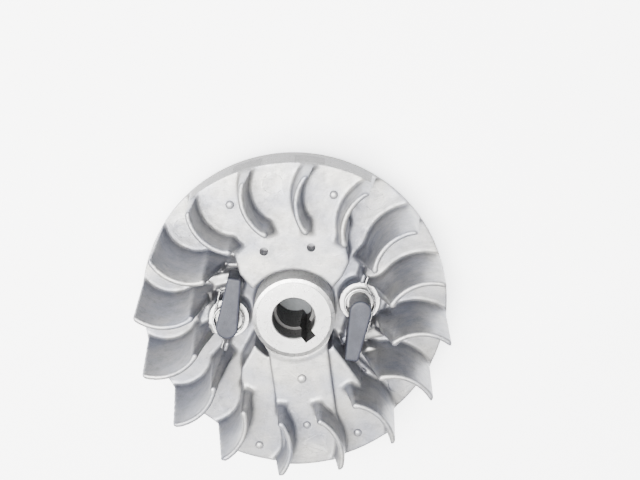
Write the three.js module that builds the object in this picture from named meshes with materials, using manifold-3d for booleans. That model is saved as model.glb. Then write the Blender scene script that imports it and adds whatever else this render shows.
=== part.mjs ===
// Flywheel of a small two-stroke engine with its two recoil-starter pawls.
// Millimetres, +Z towards the fan side. The origin is the middle of the hub's back face, on the
// crankshaft axis, and the two pawl bosses lie on the X axis.
import * as THREE from "three";
import { mergeVertices } from "three/addons/utils/BufferGeometryUtils.js";
import Module from "manifold-3d";

const wasm = await Module();
wasm.setup();

// Clearances
const SEAM = 0.3; // between neighbouring solids of the casting, and round inserts
const HINGE_CLEARANCE = 0.15; // pawl pin in its bore, clip in its groove

// Heights above the hub's back face
const OVERALL_HEIGHT = 40;
const RIM_BACK_Z = 10;
const FLOOR_THICKNESS = 3;
const DECK_HEIGHT = 14;
const STRIP_RISE = 2;
const HUB_RISE = 1; // above the decks
const BOSS_BACK_Z = 4;
const BOSS_TOP_Z = 19.8;

// Disc, hub and the two raised decks
const DISC_RADIUS = 50;
const HUB_RADIUS = 13;
const HUB_BACK_RADIUS = 12;
const HUB_CHAMFER = 1;
const MOAT_WIDTH = 2.7;
const COUNTERBORE_RADIUS = 6.7;
const COUNTERBORE_DEPTH = 8;
const TAPER_FRONT_RADIUS = 5.75;
const TAPER_BACK_RADIUS = 7;
const KEYWAY_WIDTH = 4;
const KEYWAY_REACH = 8.9;
const KEYWAY_ANGLE = -59.5;
const PIT_RADIUS = 1.4;
const PIT_DEPTH = 6;
const STRIP_HALF_WIDTH = 9.4;

// Fan blades: each leans back from its tip and bows towards the turning direction
const BLADE_COUNT = 16;
const FIRST_BLADE_ANGLE = 10;
const BLADE_TOP_INNER_RADIUS = 30.75;
const BLADE_TIP_INSET = 1;
const BLADE_LEAN = 3.1;
const BLADE_BOW = 3.3;
const BLADE_TOP_HALF = 0.7;
const BLADE_FOOT_LEAD_HALF = 1.9;
const BLADE_FOOT_TRAIL_HALF = 2.6;
const MAGNET_DECK_BLADES = [2, 5]; // blade numbers that bound each deck, counting from zero
const BALANCE_DECK_BLADES = [10, 13];
const FIRST_STRIP_BLADE = 11;

// Magnet insert in the rim wall
const MAGNET_ANGLE = 88;
const MAGNET_WIDTH = 10;
const MAGNET_DEPTH = 7.5;
const SHOE_WIDTH = 9;
const INSERT_HEIGHT = 10;
const INSERT_DEPTH = 12; // from the rim inwards

// Pawl bosses and the ribs round them
const PIN_RADIUS = 3;
const BOSS_WALL = 3.25;
const HUB_TO_BOSS = 1.9;
const RIB_THICKNESS = 1.35;

// Pawls: one moulded piece with its pin, collar, lever and post
const PAWL_REST_ANGLE = -107;
const PAWL_LENGTH = 16.7;
const COLLAR_STEP = 0.5;
const PAWL_TIP_HALF = 2.2;
const PAWL_HEIGHT = 10;
const COLLAR_HEIGHT = 3.4;
const POST_RADIUS = 0.9;
const POST_LENGTH = 2.7;
const POST_CLEARANCE = 0.7; // beside the boss
const GROOVE_DEPTH = 0.75;
const GROOVE_WIDTH = 1;
const PIN_HEAD_LENGTH = 1.7;

// Torsion springs and E-clips
const WIRE_RADIUS = 0.375;
const COIL_PLAY = 0.9; // round the collar
const POCKET_PLAY = 1.35; // round the coil
const COIL_PITCH = 0.85;
const COIL_TURNS = 2;
const COIL_LIFT = 0.1; // above the boss face's clearance
const SPRING_LEVER_REACH = 9.5;
const CLIP_REACH = 2.05; // beyond the pin
const CLIP_WAIST = 0.75; // beyond the pin, between the prongs
const CLIP_THICKNESS = 0.7;
const CLIP_MOUTH_HALF = 42;
const CLIP_PRONG_HALF = 14;

// Sizes that follow from those above
const FLOOR_Z = RIM_BACK_Z + FLOOR_THICKNESS;
const DECK_Z = FLOOR_Z + DECK_HEIGHT;
const HUB_TOP_Z = DECK_Z + HUB_RISE;
const MOAT_RADIUS = HUB_RADIUS + MOAT_WIDTH;
const INSERT_INNER_Y = DISC_RADIUS - INSERT_DEPTH;
const BORE_RADIUS = PIN_RADIUS + HINGE_CLEARANCE;
const BOSS_RADIUS = BORE_RADIUS + BOSS_WALL;
const PIVOT_X = HUB_RADIUS + HUB_TO_BOSS + BOSS_RADIUS;
const PAWL_HEAD_RADIUS = PIN_RADIUS + COLLAR_STEP;
const COIL_RADIUS = PAWL_HEAD_RADIUS + COIL_PLAY + WIRE_RADIUS;
const SPRING_POCKET_RADIUS = COIL_RADIUS + WIRE_RADIUS + POCKET_PLAY;
const POST_REACH = BOSS_RADIUS + POST_CLEARANCE + POST_RADIUS;
const GROOVE_RADIUS = PIN_RADIUS - GROOVE_DEPTH;
const CLIP_RADIUS = PIN_RADIUS + CLIP_REACH;
const CLIP_INNER_RADIUS = PIN_RADIUS + CLIP_WAIST;
const BEARING_Z = BOSS_TOP_Z + SEAM; // underside of the pawls
const POST_GUIDE_TOP_Z = BOSS_TOP_Z - SEAM;
const SPRING_STOP_TOP_Z = BOSS_TOP_Z + COLLAR_HEIGHT;
const GROOVE_Z = BOSS_BACK_Z - HINGE_CLEARANCE; // upper wall of the clip groove

const finishes = {
  casting: { color: 0xd9d8d4, roughness: 0.5, metalness: 0.6 },
  magnet: { color: 0x4a4a4e, roughness: 0.5, metalness: 0.3 },
  shoe: { color: 0x8d8f94, roughness: 0.4, metalness: 0.9 },
  pawl: { color: 0x4b5062, roughness: 0.55, metalness: 0 },
  steel: { color: 0xbfc1c4, roughness: 0.3, metalness: 1 },
};

const wheel = new THREE.Group();

function radians(degrees) {
  return THREE.MathUtils.degToRad(degrees);
}

function polar(radius, degrees) {
  return new THREE.Vector2(radius * Math.cos(radians(degrees)), radius * Math.sin(radians(degrees)));
}

// Direction of a point seen from the origin, from -180 to 180
function degreesOf(point) {
  return THREE.MathUtils.radToDeg(Math.atan2(point.y, point.x));
}

// Points from one angle to another round a centre, both ends included
function arc(centre, radius, fromDegrees, toDegrees, steps) {
  return Array.from({ length: steps + 1 }, (_, i) => {
    const angle = fromDegrees + ((toDegrees - fromDegrees) * i) / steps;
    return polar(radius, angle).add(centre);
  });
}

function circle(centre, radius, steps) {
  return arc(centre, radius, 0, 360 - 360 / steps, steps - 1);
}

const axis = new THREE.Vector2(0, 0);

function extrude(outline, lowZ, highZ, holes = []) {
  const shape = new THREE.Shape(outline);
  shape.holes = holes.map((hole) => new THREE.Path(hole));
  const geometry = new THREE.ExtrudeGeometry(shape, { depth: highZ - lowZ, bevelEnabled: false });
  return geometry.translate(0, 0, lowZ);
}

// A solid between two outlines of equal length, listed counter-clockwise
function loft(lower, upper, lowZ, highZ) {
  const count = lower.length;
  const positions = [];
  lower.forEach((point) => positions.push(point.x, point.y, lowZ));
  upper.forEach((point) => positions.push(point.x, point.y, highZ));
  const faces = [];
  THREE.ShapeUtils.triangulateShape(lower, []).forEach(([a, b, c]) => faces.push(a, c, b));
  THREE.ShapeUtils.triangulateShape(upper, []).forEach(([a, b, c]) => {
    faces.push(a + count, b + count, c + count);
  });
  for (let i = 0; i < count; i += 1) {
    const next = (i + 1) % count;
    faces.push(i, next, next + count);
    faces.push(i, next + count, i + count);
  }
  const geometry = new THREE.BufferGeometry();
  geometry.setAttribute("position", new THREE.Float32BufferAttribute(positions, 3));
  geometry.setIndex(faces);
  geometry.computeVertexNormals();
  return geometry;
}

// A solid of revolution about Z from [radius, height] pairs, listed counter-clockwise
function turned(profile, segments) {
  const points = profile.map(([radius, height]) => new THREE.Vector2(radius, height));
  return new THREE.LatheGeometry(points, segments).rotateX(Math.PI / 2);
}

function toSolid(geometry) {
  const plain = geometry.clone();
  plain.deleteAttribute("normal");
  plain.deleteAttribute("uv");
  const merged = mergeVertices(plain, 1e-4);
  const corners = Array.from(merged.index.array);
  const kept = [];
  for (let i = 0; i < corners.length; i += 3) {
    const [a, b, c] = corners.slice(i, i + 3);
    if (a !== b && b !== c && c !== a) {
      kept.push(a, b, c);
    }
  }
  const mesh = new wasm.Mesh({
    numProp: 3,
    vertProperties: new Float32Array(merged.attributes.position.array),
    triVerts: new Uint32Array(kept),
  });
  return new wasm.Manifold(mesh);
}

function toGeometry(solid) {
  const mesh = solid.getMesh();
  const geometry = new THREE.BufferGeometry();
  geometry.setAttribute("position", new THREE.BufferAttribute(new Float32Array(mesh.vertProperties), 3));
  geometry.setIndex(new THREE.BufferAttribute(new Uint32Array(mesh.triVerts), 1));
  geometry.computeVertexNormals();
  return geometry;
}

function joined(...geometries) {
  return toGeometry(geometries.map(toSolid).reduce((whole, next) => whole.add(next)));
}

function cut(geometry, ...tools) {
  return toGeometry(tools.map(toSolid).reduce((whole, tool) => whole.subtract(tool), toSolid(geometry)));
}

function place(name, geometry, finish, turn = 0, parent = wheel) {
  const mesh = new THREE.Mesh(geometry, new THREE.MeshStandardMaterial(finish));
  mesh.name = name;
  mesh.rotation.z = radians(turn);
  parent.add(mesh);
}

// ---- Fan blades -------------------------------------------------------------------------------

// The blade's middle line is an arc through its inner and outer ends, in a frame whose X axis
// runs out through the tip
const bladeInner = polar(BLADE_TOP_INNER_RADIUS, -BLADE_LEAN);
const bladeOuter = new THREE.Vector2(DISC_RADIUS - BLADE_TIP_INSET, 0);
const bladeChord = bladeOuter.clone().sub(bladeInner);
const bladeArcRadius = bladeChord.lengthSq() / (8 * BLADE_BOW) + BLADE_BOW / 2;
const bladeAcross = new THREE.Vector2(-bladeChord.y, bladeChord.x).normalize();
const bladeCentre = bladeInner
  .clone()
  .add(bladeOuter)
  .multiplyScalar(0.5)
  .addScaledVector(bladeAcross, BLADE_BOW - bladeArcRadius);

const bladeInnerEnd = degreesOf(bladeInner.clone().sub(bladeCentre));

// One side of a blade, offset from its middle line, from its square inner end out to a wheel radius
function bladeSide(offset, outerRadius, steps, endMargin = 0) {
  const radius = bladeArcRadius + offset;
  const distance = bladeCentre.length();
  const towardsAxis = degreesOf(bladeCentre) + 180;
  const cosine = (distance ** 2 + radius ** 2 - outerRadius ** 2) / (2 * distance * radius);
  const outerEnd = towardsAxis - THREE.MathUtils.radToDeg(Math.acos(cosine));
  const innerEnd = bladeInnerEnd + THREE.MathUtils.radToDeg(endMargin / bladeArcRadius);
  return arc(bladeCentre, radius, innerEnd, outerEnd, steps);
}

// The blade's section at a height, grown by a margin: it thins and draws in towards its top
function bladeSection(height, margin = 0) {
  const rise = (height - FLOOR_Z) / (OVERALL_HEIGHT - FLOOR_Z);
  const lead = THREE.MathUtils.lerp(BLADE_FOOT_LEAD_HALF, BLADE_TOP_HALF, rise) + margin;
  const trail = THREE.MathUtils.lerp(BLADE_FOOT_TRAIL_HALF, BLADE_TOP_HALF, rise) + margin;
  const outer = DISC_RADIUS - BLADE_TIP_INSET * rise + margin;
  const steps = 7;
  return [...bladeSide(-trail, outer, steps, margin), ...bladeSide(lead, outer, steps, margin).reverse()];
}

function bladeAngle(number) {
  return FIRST_BLADE_ANGLE + (number * 360) / BLADE_COUNT;
}

function standsOnDeck(number) {
  return [MAGNET_DECK_BLADES, BALANCE_DECK_BLADES].some(([first, last]) => number > first && number < last);
}

for (let number = 0; number < BLADE_COUNT; number += 1) {
  const footZ = (standsOnDeck(number) ? DECK_Z : FLOOR_Z) + SEAM;
  const blade = loft(bladeSection(footZ), bladeSection(OVERALL_HEIGHT), footZ, OVERALL_HEIGHT);
  const name = `fan_blade_${String(number + 1).padStart(2, "0")}`;
  place(name, blade, finishes.casting, bladeAngle(number));
}

// ---- Disc and hub -----------------------------------------------------------------------------

const pivots = [new THREE.Vector2(PIVOT_X, 0), new THREE.Vector2(-PIVOT_X, 0)];

const discHoles = [
  circle(axis, HUB_RADIUS + SEAM, 48),
  ...pivots.map((pivot) => circle(pivot, BOSS_RADIUS + SEAM, 28)),
];
place("rim_disc", extrude(circle(axis, DISC_RADIUS, 96), RIM_BACK_Z, FLOOR_Z, discHoles), finishes.casting);

const hubProfile = [
  [HUB_BACK_RADIUS, 0],
  [HUB_RADIUS, RIM_BACK_Z],
  [HUB_RADIUS, HUB_TOP_Z - HUB_CHAMFER],
  [HUB_RADIUS - HUB_CHAMFER, HUB_TOP_Z],
  [COUNTERBORE_RADIUS, HUB_TOP_Z],
  [COUNTERBORE_RADIUS, HUB_TOP_Z - COUNTERBORE_DEPTH],
  [TAPER_FRONT_RADIUS, HUB_TOP_Z - COUNTERBORE_DEPTH],
  [TAPER_BACK_RADIUS, 0],
  [HUB_BACK_RADIUS, 0],
];
const keyway = new THREE.BoxGeometry(KEYWAY_REACH, KEYWAY_WIDTH, HUB_TOP_Z + 2)
  .translate(KEYWAY_REACH / 2, 0, HUB_TOP_Z / 2)
  .rotateZ(radians(KEYWAY_ANGLE));
place("hub", cut(turned(hubProfile, 48), keyway), finishes.casting);

// ---- Raised decks ------------------------------------------------------------------------------

function turnedBy(points, degrees) {
  return points.map((point) => point.clone().rotateAround(axis, radians(degrees)));
}

// A blade grown by the seam, to cut a deck back from its foot
function grownFoot(number) {
  const foot = loft(bladeSection(FLOOR_Z, SEAM), bladeSection(OVERALL_HEIGHT, SEAM), FLOOR_Z, OVERALL_HEIGHT);
  return foot.rotateZ(radians(bladeAngle(number)));
}

// A deck runs from the moat to the rim between two blades, and is cut back from their feet.
// The corners where it leaves the moat are given, from the moat outwards.
function deck([first, last], firstCorners, lastCorners) {
  const middleLine = bladeSide(0, DISC_RADIUS, 6).slice(1);
  const firstSide = turnedBy(middleLine, bladeAngle(first));
  const lastSide = turnedBy(middleLine, bladeAngle(last));
  const rimFrom = degreesOf(firstSide.at(-1));
  const rimTo = degreesOf(lastSide.at(-1));
  const moatFrom = degreesOf(firstCorners[0]);
  const moatTo = degreesOf(lastCorners[0]);
  const outline = [
    ...firstCorners.slice(1),
    ...firstSide.slice(0, -1),
    ...arc(axis, DISC_RADIUS, rimFrom, rimTo, 16),
    ...lastSide.slice(0, -1).reverse(),
    ...lastCorners.slice(1).reverse(),
    ...arc(axis, MOAT_RADIUS, moatTo, moatFrom, 12),
  ];
  const lowZ = FLOOR_Z + SEAM;
  return cut(extrude(outline, lowZ, DECK_Z), ...[first, last].map(grownFoot));
}

function fromMoat(distance, degrees) {
  return polar(MOAT_RADIUS + distance, degrees);
}

const magnetDeck = deck(
  MAGNET_DECK_BLADES,
  [polar(MOAT_RADIUS, 31), fromMoat(4.6, 33.5), fromMoat(9.5, 38.5), fromMoat(11.8, 44.6)],
  [polar(MOAT_RADIUS, 137), fromMoat(6.2, 132.8), fromMoat(10, 126.8), fromMoat(13.1, 123.5)],
);
const balanceDeck = deck(
  BALANCE_DECK_BLADES,
  [polar(MOAT_RADIUS, -151), fromMoat(8.5, -141.7), fromMoat(11.3, -136.8)],
  [polar(MOAT_RADIUS, -44.7), fromMoat(15, -53.4)],
);

// The magnet and its pole shoes sit in a pocket that opens through the rim at each shoe
const insertTurn = MAGNET_ANGLE - 90;
const insertLowZ = (FLOOR_Z + DECK_Z - INSERT_HEIGHT) / 2;
const shoeInnerX = MAGNET_WIDTH / 2 + SEAM;
const shoeOuterX = shoeInnerX + SHOE_WIDTH;
const pocketBack = new THREE.BoxGeometry(
  2 * (shoeOuterX + SEAM),
  MAGNET_DEPTH + 2 * SEAM,
  INSERT_HEIGHT + 2 * SEAM,
).translate(0, INSERT_INNER_Y + MAGNET_DEPTH / 2, insertLowZ + INSERT_HEIGHT / 2);
const shoeSlots = [1, -1].map((side) => {
  const length = DISC_RADIUS - INSERT_INNER_Y + 2;
  return new THREE.BoxGeometry(SHOE_WIDTH + 2 * SEAM, length, INSERT_HEIGHT + 2 * SEAM)
    .translate((side * (shoeInnerX + shoeOuterX)) / 2, INSERT_INNER_Y + length / 2, insertLowZ + INSERT_HEIGHT / 2);
});
const pits = [polar(23.6, 105.5), polar(23.7, 69)].map((centre) => {
  return extrude(circle(centre, PIT_RADIUS, 16), DECK_Z - PIT_DEPTH, DECK_Z + 1);
});
const pocketTools = [pocketBack, ...shoeSlots].map((tool) => tool.rotateZ(radians(insertTurn)));
const magnetSector = cut(magnetDeck, ...pocketTools, ...pits);
place("magnet_sector", magnetSector, finishes.casting);

const magnet = new THREE.BoxGeometry(MAGNET_WIDTH, MAGNET_DEPTH, INSERT_HEIGHT)
  .translate(0, INSERT_INNER_Y + MAGNET_DEPTH / 2, insertLowZ + INSERT_HEIGHT / 2);
place("magnet", magnet, finishes.magnet, insertTurn);

[["pole_shoe_right", 1], ["pole_shoe_left", -1]].forEach(([name, side]) => {
  const edgeAngle = (x) => THREE.MathUtils.radToDeg(Math.acos((side * x) / DISC_RADIUS));
  const face = arc(axis, DISC_RADIUS, edgeAngle(shoeInnerX), edgeAngle(shoeOuterX), 4);
  const outline = [
    new THREE.Vector2(side * shoeOuterX, INSERT_INNER_Y),
    new THREE.Vector2(side * shoeInnerX, INSERT_INNER_Y),
    ...face,
  ];
  place(name, extrude(outline, insertLowZ, insertLowZ + INSERT_HEIGHT), finishes.shoe, insertTurn);
});

// The balance deck has a raised strip down its middle, from the hub to the rim, cut back from the
// feet of the blades that stand along its sides
const stripMiddle = -90;
function stripEnd(radius, direction) {
  const half = direction * THREE.MathUtils.radToDeg(Math.asin(STRIP_HALF_WIDTH / radius));
  return arc(axis, radius, stripMiddle - half, stripMiddle + half, 8);
}
const stripOutline = [...stripEnd(DISC_RADIUS, 1), ...stripEnd(HUB_RADIUS + SEAM, -1)];
const stripFeet = [FIRST_STRIP_BLADE, FIRST_STRIP_BLADE + 1].map(grownFoot);
const stripTop = cut(extrude(stripOutline, DECK_Z, DECK_Z + STRIP_RISE), ...stripFeet);
const stripBase = extrude(stripOutline, FLOOR_Z + SEAM, DECK_Z);
place("balance_sector", joined(balanceDeck, stripBase, stripTop), finishes.casting);

// ---- Pawl bosses, ribs, pawls, springs and clips ------------------------------------------------

// A straight-sided rib along a bent line
function rib(points, thickness, lowZ, highZ) {
  const bars = points.slice(1).map((end, i) => {
    const start = points[i];
    const run = end.clone().sub(start);
    const length = run.length() + thickness;
    const middle = start.clone().add(end).multiplyScalar(0.5);
    return new THREE.BoxGeometry(length, thickness, highZ - lowZ)
      .rotateZ(run.angle())
      .translate(middle.x, middle.y, (lowZ + highZ) / 2);
  });
  return joined(...bars);
}

// Everything at one pivot is built round that pivot, with the hub on its -X side
const boss = turned(
  [
    [BOSS_RADIUS, BOSS_BACK_Z],
    [BOSS_RADIUS, BOSS_TOP_Z],
    [BORE_RADIUS, BOSS_TOP_Z],
    [BORE_RADIUS, BOSS_BACK_Z],
    [BOSS_RADIUS, BOSS_BACK_Z],
  ],
  28,
);

function fromBoss(distance, degrees) {
  return polar(BOSS_RADIUS + distance, degrees);
}

const springStopPoints = [fromBoss(1.36, 78.5), fromBoss(3.29, 76)];
const postGuidePoints = [fromBoss(1.46, -121.5), fromBoss(6, -118.4), fromBoss(3.43, -77.7)];

// The lever seen along its pin: a round head tapering to the tip, which points along +X
function leverOutline() {
  const taper = THREE.MathUtils.radToDeg(Math.asin((PAWL_HEAD_RADIUS - PAWL_TIP_HALF) / PAWL_LENGTH));
  const round = 0.8;
  const corner = (side) => new THREE.Vector2(PAWL_LENGTH - round, side * (PAWL_TIP_HALF - round));
  return [
    ...arc(axis, PAWL_HEAD_RADIUS, 90 - taper, 270 + taper, 14),
    ...arc(corner(-1), round, -90, 0, 3),
    ...arc(corner(1), round, 0, 90, 3),
  ];
}

const pawlTopZ = BEARING_Z + PAWL_HEIGHT;
const pocketTopZ = BEARING_Z + COLLAR_HEIGHT;
const grooveLowZ = GROOVE_Z - GROOVE_WIDTH;
const pinEndZ = grooveLowZ - PIN_HEAD_LENGTH;
const pinProfile = [
  [0, pinEndZ],
  [PIN_RADIUS - 0.4, pinEndZ],
  [PIN_RADIUS, pinEndZ + 0.4],
  [PIN_RADIUS, grooveLowZ],
  [GROOVE_RADIUS, grooveLowZ],
  [GROOVE_RADIUS, GROOVE_Z],
  [PIN_RADIUS, GROOVE_Z],
  [PIN_RADIUS, BEARING_Z],
  [PAWL_HEAD_RADIUS, BEARING_Z],
  [PAWL_HEAD_RADIUS, pawlTopZ],
  [0, pawlTopZ],
];
const lever = extrude(leverOutline(), BEARING_Z, pawlTopZ);
const springPocket = turned(
  [
    [SPRING_POCKET_RADIUS, BEARING_Z - 1],
    [SPRING_POCKET_RADIUS, pocketTopZ],
    [PAWL_HEAD_RADIUS, pocketTopZ],
    [PAWL_HEAD_RADIUS, BEARING_Z - 1],
    [SPRING_POCKET_RADIUS, BEARING_Z - 1],
  ],
  28,
);
const postCentre = new THREE.Vector2(POST_REACH, 0);
const post = extrude(circle(postCentre, POST_RADIUS, 12), BEARING_Z - POST_LENGTH, BEARING_Z + 1);
const pawl = joined(cut(joined(turned(pinProfile, 28), lever), springPocket), post);

// Direction, seen from the pivot, of the coil point whose tangent reaches a point outside the coil.
// The wire leaves the coil there clockwise (side 1) or counter-clockwise (side -1).
function leavingAngle(point, side) {
  return degreesOf(point) + side * THREE.MathUtils.radToDeg(Math.acos(COIL_RADIUS / point.length()));
}

// The spring coils round the pawl's collar. One leg pushes the lever's outer side and the other,
// with a kink in it, lies along the spring stop.
function springPath() {
  const beside = (width) => width / 2 + SEAM + WIRE_RADIUS;
  const leverSide = new THREE.Vector2(SPRING_LEVER_REACH, beside(2 * PAWL_HEAD_RADIUS));
  leverSide.rotateAround(axis, radians(PAWL_REST_ANGLE));
  const [stopStart, stopEnd] = springStopPoints;
  const stopRun = stopEnd.clone().sub(stopStart).normalize();
  const stopAside = new THREE.Vector2(stopRun.y, -stopRun.x).multiplyScalar(beside(RIB_THICKNESS));
  const kink = stopStart.clone().add(stopAside);
  const tip = stopEnd.clone().add(stopAside);
  const from = leavingAngle(leverSide, 1);
  const to = leavingAngle(kink, -1) + COIL_TURNS * 360;
  const rise = (COIL_PITCH * (to - from)) / 360;
  const lowZ = BEARING_Z + WIRE_RADIUS + COIL_LIFT;
  const coilSteps = 40;
  const coil = arc(axis, COIL_RADIUS, from, to, coilSteps).map((point, i) => {
    return new THREE.Vector3(point.x, point.y, lowZ + (rise * i) / coilSteps);
  });
  const atHeight = (point, z) => new THREE.Vector3(point.x, point.y, z);
  return [atHeight(leverSide, lowZ), ...coil, atHeight(kink, lowZ + rise), atHeight(tip, lowZ + rise)];
}

// A polyline as a curve, stepped at its own corners
class Wire extends THREE.Curve {
  constructor(points) {
    super();
    this.points = points;
  }

  getPoint(t, target = new THREE.Vector3()) {
    const along = t * (this.points.length - 1);
    const index = Math.min(Math.floor(along), this.points.length - 2);
    return target.lerpVectors(this.points[index], this.points[index + 1], along - index);
  }

  getPointAt(t, target) {
    return this.getPoint(t, target);
  }

  getTangentAt(t, target = new THREE.Vector3()) {
    const step = 0.5 / (this.points.length - 1);
    const before = this.getPoint(Math.max(t - step, 0));
    return target.copy(this.getPoint(Math.min(t + step, 1))).sub(before).normalize();
  }
}

const springPoints = springPath();
const wireSection = new THREE.Shape(circle(axis, WIRE_RADIUS, 6));
const spring = new THREE.ExtrudeGeometry(wireSection, {
  steps: springPoints.length - 1,
  extrudePath: new Wire(springPoints),
});

// The clip is a C-shaped ring whose two ends and middle reach in to the groove as prongs
function clipOutline() {
  const prongInner = GROOVE_RADIUS + HINGE_CLEARANCE;
  const from = CLIP_MOUTH_HALF;
  const to = 360 - CLIP_MOUTH_HALF;
  const inward = (centre, half, steps) => arc(axis, prongInner, centre + half, centre - half, steps);
  return [
    ...arc(axis, CLIP_RADIUS, from, to, 24),
    ...arc(axis, prongInner, to, to - 2 * CLIP_PRONG_HALF, 3),
    ...arc(axis, CLIP_INNER_RADIUS, to - 2.6 * CLIP_PRONG_HALF, 180 + 1.6 * CLIP_PRONG_HALF, 5),
    ...inward(180, CLIP_PRONG_HALF, 3),
    ...arc(axis, CLIP_INNER_RADIUS, 180 - 1.6 * CLIP_PRONG_HALF, from + 2.6 * CLIP_PRONG_HALF, 5),
    ...arc(axis, prongInner, from + 2 * CLIP_PRONG_HALF, from, 3),
  ];
}

const clipLowZ = GROOVE_Z - (GROOVE_WIDTH + CLIP_THICKNESS) / 2;
const clip = extrude(clipOutline(), clipLowZ, clipLowZ + CLIP_THICKNESS);

// The two sides are the same, half a turn apart
[["right", 0], ["left", 180]].forEach(([side, turn]) => {
  const arm = new THREE.Group();
  arm.rotation.z = radians(turn);
  const station = new THREE.Group();
  station.position.x = PIVOT_X;
  arm.add(station);
  wheel.add(arm);
  const ribLowZ = FLOOR_Z + SEAM;
  const springStop = rib(springStopPoints, RIB_THICKNESS, ribLowZ, SPRING_STOP_TOP_Z);
  const postGuide = rib(postGuidePoints, RIB_THICKNESS, ribLowZ, POST_GUIDE_TOP_Z);
  place(`pawl_boss_${side}`, boss, finishes.casting, 0, station);
  place(`spring_stop_${side}`, springStop, finishes.casting, 0, station);
  place(`post_guide_${side}`, postGuide, finishes.casting, 0, station);
  place(`pawl_${side}`, pawl, finishes.pawl, PAWL_REST_ANGLE, station);
  place(`pawl_spring_${side}`, spring, finishes.steel, 0, station);
  place(`e_clip_${side}`, clip, finishes.steel, PAWL_REST_ANGLE, station);
});

export default wheel;
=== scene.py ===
import math

import bpy
import numpy as np
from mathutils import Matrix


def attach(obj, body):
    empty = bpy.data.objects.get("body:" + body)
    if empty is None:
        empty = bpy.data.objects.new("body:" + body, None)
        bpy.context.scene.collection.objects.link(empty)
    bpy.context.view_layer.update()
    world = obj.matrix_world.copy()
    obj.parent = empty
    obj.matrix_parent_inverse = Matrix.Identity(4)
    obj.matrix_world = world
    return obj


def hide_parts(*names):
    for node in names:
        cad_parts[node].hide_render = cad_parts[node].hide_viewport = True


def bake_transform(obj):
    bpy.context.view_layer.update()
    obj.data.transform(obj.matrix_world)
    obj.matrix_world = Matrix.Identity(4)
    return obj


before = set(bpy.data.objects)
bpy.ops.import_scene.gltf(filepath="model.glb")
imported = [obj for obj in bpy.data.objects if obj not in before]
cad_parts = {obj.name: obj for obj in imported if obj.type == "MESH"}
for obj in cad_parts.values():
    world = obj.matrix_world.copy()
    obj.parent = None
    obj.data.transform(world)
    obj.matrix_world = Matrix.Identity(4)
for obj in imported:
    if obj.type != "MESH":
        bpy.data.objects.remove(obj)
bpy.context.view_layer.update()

import openvdb
from mathutils import Matrix, Vector

MM = 0.001

# ---- Dimensions of the flywheel, in millimetres -------------------------------------------------

SEAM = 0.3
OVERALL_HEIGHT = 40
RIM_BACK_Z = 10
FLOOR_Z = 13
DECK_Z = 27
STRIP_Z = 29
HUB_TOP_Z = 28
BOSS_BACK_Z = 4
BOSS_TOP_Z = 19.8

DISC_RADIUS = 50
HUB_RADIUS = 13
HUB_BACK_RADIUS = 12
MOAT_RADIUS = 15.7
COUNTERBORE_RADIUS = 6.7
COUNTERBORE_FLOOR_Z = 20
TAPER_FRONT_RADIUS = 5.75
TAPER_BACK_RADIUS = 7
KEYWAY_WIDTH = 4
KEYWAY_REACH = 8.9
KEYWAY_ANGLE = -59.5
STRIP_HALF_WIDTH = 9.4
MACHINING_ALLOWANCE = 0.4
HUB_CHAMFER_WIDTH = 1.2
HUB_FILLET = 1.6
BORE_CHAMFER = 0.35
RIM_CHAMFER = 0.5
STRIP_ROUND = 0.6

RECESS_MIDDLE_RADIUS = 30.5  # the recess in the disc's back, between eight spokes
RECESS_HALF_WIDTH = 13
RECESS_DEPTH = 1.1
SPOKE_COUNT = 8
SPOKE_HALF = 1.1
PAD_RADIUS = 8.5

DECK_DRAFT = 0.03
DECK_EDGE_ROUND = 0.6
DECK_FILLET = 1.4
DECK_PIT_RADIUS = 1.4
DECK_PIT_DEPTH = 6
DECK_PITS = ((23.6, 105.5), (23.7, 69))  # radius and angle
EJECTOR_RADIUS = 3.2
NUB_HEIGHT = 1

BLADE_COUNT = 16
FIRST_BLADE_ANGLE = 10
BLADE_CENTRE = (40.88, -11.86)
BLADE_ARC_RADIUS = 14.37
BLADE_INNER_END = 134.8
BLADE_TOP_HALF = 0.7
BLADE_FOOT_LEAD_HALF = 1.9
BLADE_FOOT_TRAIL_HALF = 2.6
ROOT_START = (31.6, -1.2)  # the sloped root at a blade's inner end, in the blade's own frame
ROOT_END = (25.4, -2.1)
ROOT_TOP_RADIUS = 30.9
ROOT_STEEPNESS = 4.95
ROOT_ROUND = 1.2
ROOT_FILLET = 0.8
BLADE_END_ROUND = 1.6
BLADE_TIP_ROUND = 0.9
BLADE_TOP_ROUND = 0.3
BLADE_FILLET = 1.4
SMOOTHING_LOSS = 0.1  # what a blade loses from each side when its surface is smoothed

MAGNET_ANGLE = 88
MAGNET_WIDTH = 10
MAGNET_DEPTH = 7.5
SHOE_INNER_X = 5.3
SHOE_OUTER_X = 14.3
INSERT_INNER_Y = 38
INSERT_LOW_Z = 15
INSERT_HIGH_Z = 25
INSERT_GAP = 0.05
MAGNET_SIDE_GAP = 0.2

PIVOT_X = 21.3
BOSS_RADIUS = 6.4
BOSS_FILLET = 1.8
BORE_RADIUS = 3.15
BORE_EDGE = 0.3
RIB_HALF = 0.675
RIB_DRAFT = 0.02
RIB_ROUND = 0.6
RIB_FILLET = 1.2
WEB_DRAFT = 0.1
WEB_ROUND = 0.7
WEB_FILLET = 1
PAWL_REST_ANGLE = -107
PAWL_LENGTH = 16.7
PAWL_HEAD_RADIUS = 3.5
PAWL_TIP_HALF = 2.2
PAWL_TIP_ROUND = 0.8
PAWL_HEIGHT = 10
PAWL_SWING = 30
POST_X = 8
POST_RADIUS = 0.9
PIN_RADIUS = 3
PIN_LOW_Z = 1.15
GROOVE_RADIUS = 2.25
GROOVE_Z = 3.35
GROOVE_HALF_WIDTH = 0.5
BEARING_Z = 20.1
COIL_RADIUS = 4.775
WIRE_RADIUS = 0.375
COIL_PITCH = 0.85
CLIP_LOW_Z = 2.65
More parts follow.
